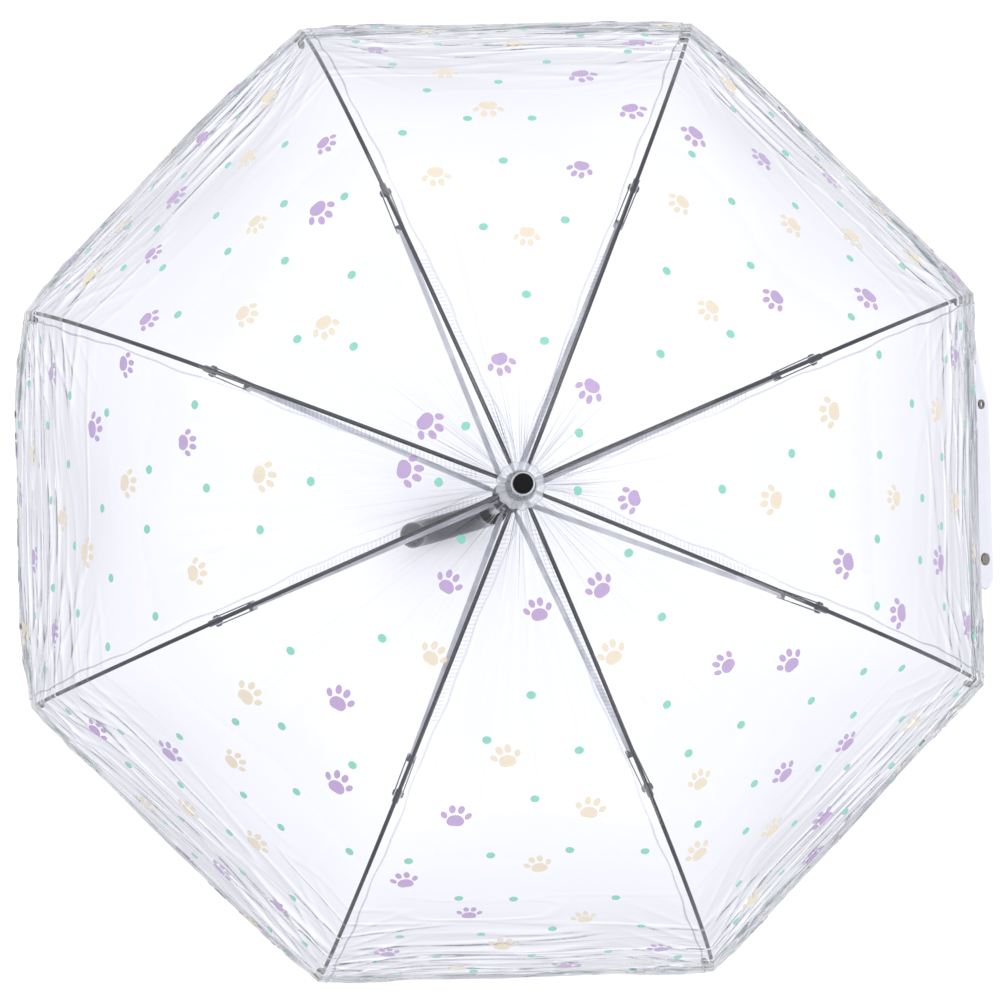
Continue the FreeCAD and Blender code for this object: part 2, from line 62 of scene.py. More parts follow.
# ---- the ribs' curve, as the frame has it ----
RIB_COUNT = 8
HALF_GORE = math.radians(180.0 / RIB_COUNT)
HINGE_RADIUS = 9 * MM
JOINT_RADIUS = 233 * MM
SHOULDER_RADIUS = 410 * MM
START_SLOPE = math.radians(8)
JOINT_SLOPE = math.radians(30)
INNER_BEND = (JOINT_RADIUS - HINGE_RADIUS) / (math.sin(JOINT_SLOPE) - math.sin(START_SLOPE))
OUTER_BEND = (SHOULDER_RADIUS - JOINT_RADIUS) / (1 - math.sin(JOINT_SLOPE))
INNER_LENGTH = INNER_BEND * (JOINT_SLOPE - START_SLOPE)
OUTER_LENGTH = OUTER_BEND * (math.pi / 2 - JOINT_SLOPE)
SKIRT = 14 * MM
FILM_LENGTH = INNER_LENGTH + OUTER_LENGTH + SKIRT
CROWN_Z = sum(corner[2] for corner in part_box("crown_ring")) / 2

# ---- film ----
FILM_OFFSET = 2.05 * MM  # film's middle above the ribs' centre lines
FILM_START = 4.5 * MM
# How far the loose hem swings out between two ribs, gore by gore from azimuth 0.
HEM_BULGE = [0.5 * MM, 7 * MM, 5 * MM, 8 * MM, 12 * MM, 3 * MM, 1 * MM, 1 * MM]
WAIST = 3 * MM  # how far the wall is drawn in above the hem
HEM_BAND = 15 * MM
PRINT_LIFT = 0.3 * MM
SEAM_LIFT = 0.35 * MM
ACROSS_STEPS = 56  # columns on each half of a panel
DOWN_STEPS = 260

# ---- prints: staggered rows down each gore, shifted a little at random ----
PAW_FIRST = 78 * MM  # distance down of the first row
PAW_ROW = 60 * MM
PAW_STEP = 96 * MM
PAW_WIDTH = 19 * MM
DOT_FIRST = 44 * MM
DOT_ROW = 52 * MM
DOT_STEP = 58 * MM
DOT_WIDTH = 6.6 * MM
PRINT_DRIFT = 12 * MM
PRINT_EDGE = 16 * MM  # prints keep this far from the ribs
CLEAR_OF_PAW = 20 * MM
MOST_STEPS = 3  # no row needs more places than this on each side of the middle
PRINT_SEED = 40
PRINT_ROOM = 42 * MM  # left above the hem band for its own row of prints
PRINT_END = FILM_LENGTH - HEM_BAND - PRINT_ROOM
HEM_PRINT_RISE = 14 * MM
HEM_PRINT_STEP = 34  # mm, along the hem
HEM_PRINT_WIDTH = 21 * MM
MARK_SCALE = 1.0  # enlarges every print and weld tick alike

# ---- creases: how high each kind stands, and the length of one radian of its wave ----
HUB_RAYS = 0.6 * MM
HUB_REACH = 75 * MM
LONG_RAYS = 0.4 * MM
LEVEL_FOLDS = 2.2 * MM
LEVEL_STEP = 4.9 * MM
FINE_FOLDS = 0.9 * MM
FINE_STEP = 2.7 * MM
WALL_START = 360 * MM  # distance down at which the level folds begin
WALL_FULL = 460 * MM
PULLED_FOLDS = 1.6 * MM  # slanting folds that the rib tips pull
PULLED_STEP = 4.2 * MM
PULLED_SLANT = 0.75
SWELL = 1.1 * MM
SWELL_STEP = 34 * MM


# ---- colours and materials ----
def linear(code):
    """sRGB hex to the linear colour that the shaders take."""
    parts = [int(code[i : i + 2], 16) / 255 for i in (0, 2, 4)]
    flat = [p / 12.92 if p <= 0.04045 else ((p + 0.055) / 1.055) ** 2.4 for p in parts]
    return (*flat, 1.0)


def add(tree, kind, settings=None, **inputs):
    """Adds a node. An input given as a socket is linked, anything else is its value.

    An input is named with _ for a space, or i and its number.
    """
    made = tree.nodes.new(kind)
    for name, value in (settings or {}).items():
        setattr(made, name, value)
    for name, value in inputs.items():
        numbered = name[0] == "i" and name[1:].isdigit()
        socket = made.inputs[int(name[1:]) if numbered else name.replace("_", " ")]
        if isinstance(value, bpy.types.NodeSocket):
            tree.links.new(value, socket)
        else:
            socket.default_value = value
    return made


def new_material(name):
    material = bpy.data.materials.new(name)
    material.use_nodes = True
    tree = material.node_tree
    tree.nodes.clear()
    return material, tree, tree.nodes.new("ShaderNodeOutputMaterial")


def object_pattern(tree, kind, settings=None, **inputs):
    place = add(tree, "ShaderNodeTexCoord")
    return add(tree, kind, settings, Vector=place.outputs["Object"], **inputs)


def moulded(name, code, shade, roughness, grain_mm, depth, coat=0.0, sheen_level=0.5):
    """Injection-moulded plastic: an even colour with a fine spark-eroded grain."""
    material, tree, out = new_material(name)
    grain = object_pattern(tree, "ShaderNodeTexNoise", Scale=1 / (grain_mm * MM), Detail=3.0)
    cloud = object_pattern(tree, "ShaderNodeTexNoise", Scale=18.0, Detail=2.0)
    mottle = add(
        tree, "ShaderNodeMapRange", i0=cloud.outputs[0], i1=0.35, i2=0.65, i3=0.0, i4=1.0
    )
    dull = add(
        tree,
        "ShaderNodeMapRange",
        i0=cloud.outputs[0],
        i1=0.3,
        i2=0.7,
        i3=roughness - 0.05,
        i4=roughness + 0.07,
    )
    colour = add(
        tree,
        "ShaderNodeMix",
        {"data_type": "RGBA"},
        i0=mottle.outputs[0],
        i6=linear(code),
        i7=linear(shade),
    )
    bump = add(
        tree, "ShaderNodeBump", Strength=0.25, Distance=depth * MM, Height=grain.outputs[0]
    )
    surface = add(
        tree,
        "ShaderNodeBsdfPrincipled",
        Base_Color=colour.outputs[2],
        Roughness=dull.outputs[0],
        Coat_Weight=coat,
        Specular_IOR_Level=sheen_level,
        Normal=bump.outputs[0],
    )
    tree.links.new(surface.outputs[0], out.inputs[0])
    return material


def metal(name, code, dark, roughness, stretch, scratch_mm, depth):
    """Plated or bare steel with fine drawn lines and slight tarnish."""
    material, tree, out = new_material(name)
    place = add(tree, "ShaderNodeTexCoord")
    drawn = add(tree, "ShaderNodeMapping", Vector=place.outputs["Object"], Scale=stretch)
    lines = add(
        tree,
        "ShaderNodeTexNoise",
        Vector=drawn.outputs[0],
        Scale=1 / (scratch_mm * MM),
        Detail=4.0,
    )
    tarnish = object_pattern(tree, "ShaderNodeTexNoise", Scale=45.0, Detail=5.0)
    stain = add(
        tree, "ShaderNodeMapRange", i0=tarnish.outputs[0], i1=0.4, i2=0.75, i3=0.0, i4=1.0
    )
    dull = add(
        tree,
        "ShaderNodeMapRange",
        i0=lines.outputs[0],
        i1=0.3,
        i2=0.7,
        i3=roughness - 0.05,
        i4=roughness + 0.1,
    )
    colour = add(
        tree,
        "ShaderNodeMix",
        {"data_type": "RGBA"},
        i0=stain.outputs[0],
        i6=linear(code),
        i7=linear(dark),
    )
    bump = add(
        tree, "ShaderNodeBump", Strength=0.3, Distance=depth * MM, Height=lines.outputs[0]
    )
    surface = add(
        tree,
        "ShaderNodeBsdfPrincipled",
        Base_Color=colour.outputs[2],
        Metallic=1.0,
        Roughness=dull.outputs[0],
        Normal=bump.outputs[0],
    )
    tree.links.new(surface.outputs[0], out.inputs[0])
    return material


def fold_lines(tree, place, stretch, thin):
    """Long thin folds: narrow ridges along the level lines of a stretched noise."""
    drawn = add(tree, "ShaderNodeMapping", Vector=place, Scale=stretch)
    noise = add(
        tree,
        "ShaderNodeTexNoise",
        Vector=drawn.outputs[0],
        Scale=1.0,
        Detail=0.6,
        Distortion=0.25,
    )
    off = add(tree, "ShaderNodeMath", {"operation": "SUBTRACT"}, i0=noise.outputs[0], i1=0.5)
    size = add(tree, "ShaderNodeMath", {"operation": "ABSOLUTE"}, i0=off.outputs[0])
    ridge = add(
        tree,
        "ShaderNodeMapRange",
        {"interpolation_type": "SMOOTHSTEP"},
        i0=size.outputs[0],
        i1=0.0,
        i2=thin,
        i3=1.0,
        i4=0.0,
    )
    return ridge.outputs[0]


# Each kind of fold in the film's surface: how finely it repeats round the canopy (twice)
# and down it, how thin its ridges are, the distances down between which it comes or goes,
# and its share of the full height at those two distances.
FOLD_KINDS = (
    ((2.6, 2.6, 36.0), 0.09, 0.34, 0.47, 0.0, 1.0),  # level folds on the wall
    ((4.0, 4.0, 66.0), 0.08, 0.38, 0.5, 0.0, 0.35),  # finer level folds
    ((9.0, 9.0, 1.5), 0.1, 0.1, 0.34, 0.35, 0.0),  # long rays from the crown
    ((19.0, 19.0, 3.0), 0.1, 0.03, 0.16, 0.3, 0.0),  # short rays round the crown
)


def film_folds(tree):
    """Height of the film's folds, all kinds added together."""
    place = add(tree, "ShaderNodeAttribute", {"attribute_name": "film_place"})
    down = add(tree, "ShaderNodeSeparateXYZ", i0=place.outputs["Vector"]).outputs[2]
    total = None
    for stretch, thin, start, end, first, last in FOLD_KINDS:
        ridge = fold_lines(tree, place.outputs["Vector"], stretch, thin)
        share = add(tree, "ShaderNodeMapRange", i0=down, i1=start, i2=end, i3=first, i4=last)
        part = add(
            tree, "ShaderNodeMath", {"operation": "MULTIPLY"}, i0=ridge, i1=share.outputs[0]
        )
        if total is not None:
            part = add(
                tree, "ShaderNodeMath", {"operation": "ADD"}, i0=total, i1=part.outputs[0]
            )
        total = part.outputs[0]
    return total


# How much clear vinyl mirrors: a little face on, most of the light at a grazing angle.
MIRROR_FACE_ON = 0.045
MIRROR_EDGE_ON = 0.9
MIRROR_POWER = 5.0


def clear_vinyl(
    name, face_on, edge_on, gloss, ripple_mm, ripple_depth, power, folds_mm=0.0, haze=0.0
):
    """Clear soft vinyl. What shows through darkens where the sheet is seen edge on."""
    material, tree, out = new_material(name)
    ripple = object_pattern(tree, "ShaderNodeTexNoise", Scale=1 / (ripple_mm * MM), Detail=2.0)
    bump = add(
        tree, "ShaderNodeBump", Strength=0.5, Distance=ripple_depth * MM, Height=ripple.outputs[0]
    )
    if folds_mm:
        bump = add(
            tree,
            "ShaderNodeBump",
            Strength=1.0,
            Distance=folds_mm * MM,
            Height=film_folds(tree),
            Normal=bump.outputs[0],
        )
    turn = add(tree, "ShaderNodeLayerWeight", Blend=0.5, Normal=bump.outputs[0])
    facing = turn.outputs["Facing"]
    share = add(tree, "ShaderNodeMath", {"operation": "POWER"}, i0=facing, i1=power)
    tint = add(
        tree,
        "ShaderNodeMix",
        {"data_type": "RGBA"},
        i0=share.outputs[0],
        i6=linear(face_on),
        i7=linear(edge_on),
    )
    through = add(tree, "ShaderNodeBsdfTransparent", Color=tint.outputs[2])
    shine = add(
        tree, "ShaderNodeBsdfGlossy", Color=linear("FFFFFF"), Roughness=gloss, Normal=bump.outputs[0]
    )
    steep = add(tree, "ShaderNodeMath", {"operation": "POWER"}, i0=facing, i1=MIRROR_POWER)
    mirror = add(
        tree,
        "ShaderNodeMath",
        {"operation": "MULTIPLY_ADD"},
        i0=steep.outputs[0],
        i1=MIRROR_EDGE_ON,
        i2=MIRROR_FACE_ON,
    )
    body = through
    if haze:
        milk = add(tree, "ShaderNodeBsdfDiffuse", Color=linear("F3F4F7"))
        body = add(tree, "ShaderNodeMixShader", i0=haze, i1=through.outputs[0], i2=milk.outputs[0])
    mixed = add(
        tree,
        "ShaderNodeMixShader",
        i0=mirror.outputs[0],
        i1=body.outputs[0],
        i2=shine.outputs[0],
    )
    tree.links.new(mixed.outputs[0], out.inputs[0])
    return material


def ink(name, code, cover):
    """Screen-printed ink on vinyl: thin enough to let some light through."""
    material, tree, out = new_material(name)
    patch = object_pattern(tree, "ShaderNodeTexNoise", Scale=900.0, Detail=2.0)
    surface = add(
        tree,
        "ShaderNodeBsdfPrincipled",
        Base_Color=linear(code),
        Roughness=0.35,
        Alpha=cover,
        Normal=add(
            tree, "ShaderNodeBump", Strength=0.15, Distance=0.05 * MM, Height=patch.outputs[0]
        ).outputs[0],
    )
    tree.links.new(surface.outputs[0], out.inputs[0])
    return material


# Steel tube, nickel plated and buffed: a bright mirror with faint drawn lines.
plated_tube = metal("nickel_plated_steel_tube", "AFB1B6", "8A8C92", 0.2, (1, 1, 0.04), 0.5, 0.01)
# Spring-steel rod, dipped in charcoal enamel: dark satin.
enamelled_rod = moulded("charcoal_enamelled_steel", "37373B", "2B2B2F", 0.36, 0.8, 0.02, 0.1)
# Pressed channel, zinc plated: soft grey with a dull sparkle.
zinc_channel = metal("zinc_plated_pressed_steel", "DADBDF", "B7B9BF", 0.42, (1, 1, 1), 0.7, 0.015)
# Rib lugs and stretcher forks: pressed steel, phosphated a dull dark grey.
phosphated = metal("phosphated_steel", "77787D", "5C5D63", 0.4, (1, 1, 1), 0.5, 0.02)
# Crown and runner: black ABS, moulded with a fine matt grain.
black_abs = moulded("black_moulded_abs", "17171A", "101012", 0.42, 0.5, 0.03)
# Ferrule cap, collar and rib tips: black ABS, dull enough to stay black under bright light.
gloss_abs = moulded("black_gloss_abs", "060607", "09090A", 0.5, 1.2, 0.01, sheen_level=0.12)
# Crook: charcoal polypropylene with a satin skin.
charcoal_crook = moulded("charcoal_satin_polypropylene", "4B4B50", "424247", 0.3, 0.6, 0.03, 0.15)
bright_ferrule = metal("chrome_plated_ferrule", "C2C4C8", "989AA0", 0.14, (1, 1, 0.05), 0.6, 0.005)
bare_wire = metal("drawn_steel_wire", "B9B9BA", "8C8A86", 0.3, (1, 1, 1), 0.4, 0.01)
# Snap: antique-finished steel, brown in the hollows.
antique_snap = metal("antiqued_steel_snap", "8E857E", "5F5650", 0.28, (1, 1, 1), 0.9, 0.03)
# Film: clear vinyl sheet, glossy, grey where it is seen edge on, with folds in its surface.
film_vinyl = clear_vinyl("clear_vinyl_film", "F6F6FA", "6C6C78", 0.04, 9, 0.2, 2.4, folds_mm=1.8)
seam_vinyl = clear_vinyl("clear_vinyl_weld", "F0F0F4", "80818C", 0.08, 4, 0.2, 1.6)
strap_vinyl = clear_vinyl("clear_vinyl_strap_sheet", "F7F7FA", "A3A6B0", 0.05, 12, 0.12, 2.2)
# Rosette: moulded clear vinyl, a little milky.
rosette_vinyl = clear_vinyl(
    "frosted_vinyl_rosette", "F4F5F8", "A4A7B2", 0.15, 1.5, 0.2, 1.6, haze=0.28
)
# Inks: screen-printed, flat colours, the pale ones thin enough to let light through.
lavender_ink = ink("lavender_screen_ink", "A78ABA", 0.86)
cream_ink = ink("cream_screen_ink", "D8CAB0", 0.86)
mint_ink = ink("mint_screen_ink", "70C0AA", 0.88)
mint_band_ink = ink("mint_hem_ink", "5DB096", 0.94)
black_ink = ink("black_screen_ink", "1B1A1E", 0.96)
purple_ink = ink("deep_lavender_screen_ink", "6E4C80", 0.94)


# ---- the film as a surface ----
def rib_curve(down):
    """(radius, height, slope) of the ribs' centre line this far down from the crown."""
    inner = np.minimum(down, INNER_LENGTH)
    outer = np.clip(down - INNER_LENGTH, 0, OUTER_LENGTH)
    skirt = np.maximum(down - INNER_LENGTH - OUTER_LENGTH, 0)
    slope = START_SLOPE + inner / INNER_BEND + outer / OUTER_BEND
    first = np.minimum(slope, JOINT_SLOPE)
    radius = HINGE_RADIUS + INNER_BEND * (np.sin(first) - math.sin(START_SLOPE))
    height = CROWN_Z + INNER_BEND * (np.cos(first) - math.cos(START_SLOPE))
    second = np.maximum(slope, JOINT_SLOPE)
    radius = radius + OUTER_BEND * (np.sin(second) - math.sin(JOINT_SLOPE))
    height = height + OUTER_BEND * (np.cos(second) - math.cos(JOINT_SLOPE)) - skirt
    return radius, height, slope


def smooth(value, low, high):
    t = np.clip((value - low) / (high - low), 0, 1)
    return t * t * (3 - 2 * t)


def crease(wave, sharpness=3.0):
    """A wave of narrow folds: sharp ridges with wide flats between them."""
    return np.exp(-sharpness * (1 - np.cos(wave)))


def half_width(down):
    radius, _, slope = rib_curve(down)
    return (radius + FILM_OFFSET * np.sin(slope)) * math.sin(HALF_GORE)


# Each gore's own starting point and stretch for every wave of its creases.
WAVES = np.random.default_rng(12).uniform(0, 2 * math.pi, (RIB_COUNT, 16))
LENGTHS = np.random.default_rng(5).uniform(0.8, 1.25, (RIB_COUNT, 16))


def wrinkles(gore, side, down):
    """How far the film stands out from a smooth gore. Side runs from -1 to 1."""
    p, k = WAVES[gore % RIB_COUNT], LENGTHS[gore % RIB_COUNT]
    across = side * half_width(down)
    corner = np.abs(side)
    near_hub = np.exp(-down / HUB_REACH)
    rays = np.sin(side * 16 * k[0] + p[0]) + 0.7 * np.sin(side * 29 * k[1] + p[1])
    total = HUB_RAYS * near_hub * rays
    long_rays = crease(side * 9 * k[2] + p[2], 5) + 0.6 * crease(side * 14 * k[3] + p[3], 7)
    on_top = smooth(down, 10 * MM, 60 * MM) * (1 - smooth(down, 140 * MM, 340 * MM))
    total = total + LONG_RAYS * long_rays * on_top
    wall = smooth(down, WALL_START, WALL_FULL)
    drift = 0.9 * np.sin(across / (50 * MM) * k[4] + p[4])
    drift = drift + 0.5 * np.sin(across / (21 * MM) * k[5] + p[5])
    level = crease(down / LEVEL_STEP * k[6] + drift + p[6], 2.5)
    level = level * (0.45 + 0.55 * np.sin(across / (37 * MM) * k[7] + p[7]))
    fine = crease(down / FINE_STEP * k[8] + 1.3 * drift + p[8], 2.0)
    fine = fine * (0.5 + 0.5 * np.sin(across / (26 * MM) * k[9] + p[9]))
    total = total + wall * (LEVEL_FOLDS * level + FINE_FOLDS * fine)
    slant = (down - PULLED_SLANT * corner * half_width(down)) / PULLED_STEP
    pulled = crease(slant * k[10] + 0.6 * np.sin(across / (30 * MM) + p[10]), 2.2)
    near_tip = smooth(corner, 0.45, 0.85) * smooth(down, 330 * MM, 450 * MM)
    total = total + PULLED_FOLDS * pulled * near_tip
    broad = np.sin(down / SWELL_STEP * k[11] + p[11]) * np.sin(side * 3.1 * k[12] + p[12])
    total = total + SWELL * broad * smooth(down, 80 * MM, 200 * MM)
    return total * (1 - corner**6)


def film_points(gore, side, down, lift=0.0):
    """Points on the film: gore number, side from -1 to 1, distance down."""
    radius, height, slope = rib_curve(down)
    profile_r = (radius + FILM_OFFSET * np.sin(slope)) * math.cos(HALF_GORE)
    profile_z = height + FILM_OFFSET * np.cos(slope)
    across = side * half_width(down)
    out_r = np.sin(slope)
    out_z = math.cos(HALF_GORE) * np.cos(slope)
    size = np.hypot(out_r, out_z)
    loose = smooth(down, FILM_LENGTH - 150 * MM, FILM_LENGTH)
    drawn = smooth(down, 300 * MM, 420 * MM) * (1 - loose)
    bulge = (HEM_BULGE[gore % RIB_COUNT] * loose - WAIST * drawn) * (1 - side**2)
    stand = bulge + wrinkles(gore, side, down) + lift
    azimuth = 2 * HALF_GORE * gore
    out = profile_r + stand * out_r / size
    x = out * math.cos(azimuth) - across * math.sin(azimuth)
    y = out * math.sin(azimuth) + across * math.cos(azimuth)
    z = profile_z + stand * out_z / size
    return np.stack([x, y, z], axis=-1)


def film_normals(gore, side, down):
    """Outward normals, from the film's own shape a short step to each side."""
    step = 0.4 * MM
    across = step / np.maximum(half_width(down), step)
    along_side = film_points(gore, side + across, down) - film_points(gore, side - across, down)
    along_down = film_points(gore, side, down + step) - film_points(gore, side, down - step)
    normal = np.cross(along_down, along_side)
    return normal / np.linalg.norm(normal, axis=-1, keepdims=True)


def gore_side(rib, share):
    """A rib's panel runs from share -1 to 1. Gives the gore and the side on that gore."""
    if share < 0:
        return rib, 1 + share
    return rib + 1, share - 1


# ---- making meshes ----
def mesh_object(name, points, faces, materials):
    mesh = bpy.data.meshes.new(name)
    mesh.from_pydata([tuple(p) for p in points], [], faces)
    for material in materials:
        mesh.materials.append(material)
    mesh.polygons.foreach_set("use_smooth", [True] * len(mesh.polygons))
    mesh.validate()
    made = bpy.data.objects.new(name, mesh)
    bpy.context.scene.collection.objects.link(made)
    return made


def grid_faces(rows, columns, turn=False):
    faces = []
    for r in range(rows - 1):
        for c in range(columns - 1):
            a = r * columns + c
            quad = (a, a + 1, a + columns + 1, a + columns)
            faces.append(quad[::-1] if turn else quad)
    return faces


def attach(piece, rib):
    """The piece follows a rib when the umbrella closes."""
    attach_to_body(piece, f"rib_{rib + 1}")
    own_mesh(piece)


def film_panel(rib):
    """One sheet of clear film, from the middle of one gore over its rib to the next."""
    down = np.linspace(FILM_START, FILM_LENGTH, DOWN_STEPS)
    shares = np.linspace(-1, 1, 2 * ACROSS_STEPS + 1)
    columns, normals = [], []
    for share in shares:
        gore, side = gore_side(rib, share)
        columns.append(film_points(gore, side, down))
        normal = film_normals(gore, side, down)
        if abs(share) < 1e-9:
            normal = normal + film_normals(rib, 1.0, down)
            normal /= np.linalg.norm(normal, axis=-1, keepdims=True)
        normals.append(normal)
    points = np.stack(columns, axis=1).reshape(-1, 3)
    normals = np.stack(normals, axis=1).reshape(-1, 3)
    panel = mesh_object(
        f"film_panel_{rib + 1}",
        points,
        grid_faces(DOWN_STEPS, len(shares), turn=True),
        [film_vinyl],
    )
    panel.data.normals_split_custom_set_from_vertices([tuple(n) for n in normals])
    around = HALF_GORE * (2 * rib + shares)
    place = np.empty((DOWN_STEPS, len(shares), 3))
    place[:, :, 0] = np.cos(around)
    place[:, :, 1] = np.sin(around)
    place[:, :, 2] = down[:, None]
    spots = panel.data.attributes.new("film_place", "FLOAT_VECTOR", "POINT")
    spots.data.foreach_set("vector", place.ravel())
    attach(panel, rib)
    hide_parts(f"canopy_panel_{rib + 1}")
    return panel


# ---- prints: small flat shapes set out on a flat gore, then laid on the film ----
BLOB_STEPS = 18
BLOB_RINGS = (0.55, 1.0)
DENT_SHARPNESS = 3.5


def blob(points, faces, centre, size, lean=0.0, dent=0.0):
    """A rounded patch of rings round a centre; dent pulls in one side like a heel pad."""
    start = len(points)
    points.append((centre[0], centre[1], 0.0))
    steps = BLOB_STEPS
    for ring in BLOB_RINGS:
        for step in range(steps):
            a = 2 * math.pi * step / steps
            reach = ring * (1 - dent * math.exp(-DENT_SHARPNESS * (1 + math.sin(a))))
            x, y = size[0] * reach * math.cos(a), size[1] * reach * math.sin(a)
            points.append(
                (
                    centre[0] + x * math.cos(lean) - y * math.sin(lean),
                    centre[1] + x * math.sin(lean) + y * math.cos(lean),
                    0.0,
                )
            )
    for step in range(steps):
        after = (step + 1) % steps
        faces.append((start, start + 1 + step, start + 1 + after))
        inner, outer = start + 1, start + 1 + steps
        faces.append((inner + step, outer + step, outer + after, inner + after))


def print_shape(name, blobs):
    """A flat shape out of blobs: centre, half sizes, lean and dent. It isn't shown itself."""
    points, faces = [], []
    for values in blobs:
        blob(points, faces, *values)
    shape = mesh_object(name, points, faces, [])
    bpy.context.scene.collection.objects.unlink(shape)
    return shape


# Every shape is about one unit wide. A paw is a heel pad with a dented base and four toes.
PAW = print_shape(
    "paw_shape",
    [
        ((0, -0.22), (0.32, 0.31), 0.0, 0.3),
        ((-0.43, 0.06), (0.11, 0.17), 0.45),
        ((-0.16, 0.34), (0.12, 0.19), 0.12),
        ((0.16, 0.34), (0.12, 0.19), -0.12),
        ((0.43, 0.06), (0.11, 0.17), -0.45),
    ],
)
DOT = print_shape("dot_shape", [((0, 0), (0.5, 0.5))])
BONE = print_shape(
    "bone_shape",
    [
        ((0, 0), (0.42, 0.1)),
        ((-0.4, 0.12), (0.13, 0.13)),
        ((-0.4, -0.12), (0.13, 0.13)),
        ((0.4, 0.12), (0.13, 0.13)),
        ((0.4, -0.12), (0.13, 0.13)),
    ],
)
TICK = print_shape("tick_shape", [((0, 0), (0.5, 0.09))])


def scatter_tree():
    """Puts a shape on every point, sized and turned by its attributes."""
    tree = bpy.data.node_groups.new("scatter_prints", "GeometryNodeTree")
    face = tree.interface
    face.new_socket("Points", in_out="INPUT", socket_type="NodeSocketGeometry")
    shape = face.new_socket("Shape", in_out="INPUT", socket_type="NodeSocketObject")
    finish = face.new_socket("Finish", in_out="INPUT", socket_type="NodeSocketMaterial")
    scale = face.new_socket("Scale", in_out="INPUT", socket_type="NodeSocketFloat")
    face.new_socket("Prints", in_out="OUTPUT", socket_type="NodeSocketGeometry")
    given = tree.nodes.new("NodeGroupInput")
    result = tree.nodes.new("NodeGroupOutput")
    source = add(tree, "GeometryNodeObjectInfo", Object=given.outputs["Shape"])
    source.inputs["As Instance"].default_value = True
    width = add(tree, "GeometryNodeInputNamedAttribute", {"data_type": "FLOAT"}, Name="width")
    turn = add(tree, "GeometryNodeInputNamedAttribute", {"data_type": "FLOAT"}, Name="turn")
    angle = add(tree, "ShaderNodeCombineXYZ", Z=turn.outputs["Attribute"])
    size = add(
        tree,
        "ShaderNodeMath",
        {"operation": "MULTIPLY"},
        i0=width.outputs["Attribute"],
        i1=given.outputs["Scale"],
    )
    placed = add(
        tree,
        "GeometryNodeInstanceOnPoints",
        Points=given.outputs["Points"],
        Instance=source.outputs["Geometry"],
        Rotation=angle.outputs[0],
        Scale=size.outputs[0],
    )
    real = add(tree, "GeometryNodeRealizeInstances", Geometry=placed.outputs[0])
    painted = add(
        tree,
        "GeometryNodeSetMaterial",
        Geometry=real.outputs[0],
        Material=given.outputs["Finish"],
    )
    tree.links.new(painted.outputs[0], result.inputs[0])
    return tree, shape.identifier, finish.identifier, scale.identifier


SCATTER, SHAPE_INPUT, FINISH_INPUT, SCALE_INPUT = scatter_tree()


def scattered(spots, shape, finish):
    """Flat prints at (across, down, width, turn) spots, as points and faces in metres."""
    mesh = bpy.data.meshes.new("spots")
    mesh.from_pydata([(a, d, 0.0) for a, d, _, _ in spots], [], [])
    for label, column in (("width", 2), ("turn", 3)):
        attribute = mesh.attributes.new(label, "FLOAT", "POINT")
        attribute.data.foreach_set("value", [float(spot[column]) for spot in spots])
    holder = bpy.data.objects.new("spots", mesh)
    bpy.context.scene.collection.objects.link(holder)
    modifier = holder.modifiers.new("scatter", "NODES")
    modifier.node_group = SCATTER
    modifier[SHAPE_INPUT] = shape
    modifier[FINISH_INPUT] = finish
    modifier[SCALE_INPUT] = MARK_SCALE
    bpy.context.view_layer.update()
    evaluated = holder.evaluated_get(bpy.context.evaluated_depsgraph_get())
    flat = bpy.data.meshes.new_from_object(evaluated)
    points = np.empty(len(flat.vertices) * 3)
    flat.vertices.foreach_get("co", points)
    faces = [tuple(p.vertices) for p in flat.polygons]
    bpy.data.objects.remove(holder)
    bpy.data.meshes.remove(flat)
    return points.reshape(-1, 3), faces


def laid_on_film(gore, flat, lift):
    """Flat (across, down) points, moved onto the film."""
    down = np.clip(flat[:, 1], FILM_START, FILM_LENGTH)
    side = np.clip(flat[:, 0] / half_width(down), -1, 1)
    return film_points(gore, side, down, lift + flat[:, 2])


def staggered(dice, first, row, step):
    """Places (across, down) in rows, each row half a step along from the last."""
    spots = []
    for n in range(int((PRINT_END - first) / row) + 1):
        down = first + n * row
        reach = half_width(down) - PRINT_EDGE
        for m in range(-MOST_STEPS, MOST_STEPS + 1):
            drift = dice.uniform(-PRINT_DRIFT, PRINT_DRIFT, 2)
            across = (m + n % 2 / 2) * step + drift[0]
            if abs(across) < reach:
                spots.append((across, down + drift[1]))
    return spots


def off_middle(across, width):
    """Keeps a print whole on one side of the gore's middle, where two panels meet."""
    return math.copysign(max(abs(across), 0.6 * width), across)


def gore_prints(gore):
    """One gore's prints by ink: lavender paws, cream paws, mint dots."""
    dice = np.random.default_rng(PRINT_SEED + gore % RIB_COUNT)
    places = staggered(dice, PAW_FIRST, PAW_ROW, PAW_STEP)
    paws = []
    for across, down in places:
        width = PAW_WIDTH * dice.uniform(0.88, 1.12)
        tilt = math.pi + dice.uniform(-0.4, 0.4)
        paws.append((off_middle(across, width), down, width, tilt))
    dots = []
    for across, down in staggered(dice, DOT_FIRST, DOT_ROW, DOT_STEP):
        if all(math.hypot(across - a, down - d) > CLEAR_OF_PAW for a, d, _, _ in paws):
            dots.append((off_middle(across, DOT_WIDTH), down, DOT_WIDTH, 0.0))
    return paws[0::2], paws[1::2], dots


def hem_spots(rib_side):
    """A row of bones and paws above the hem band, on one half of a gore."""
    down = FILM_LENGTH - HEM_BAND - HEM_PRINT_RISE
    places = [HEM_PRINT_STEP / 2 + HEM_PRINT_STEP * n for n in range(4)]
    return [(rib_side * a * MM, down, HEM_PRINT_WIDTH, 0.5 * math.sin(3 * a)) for a in places]


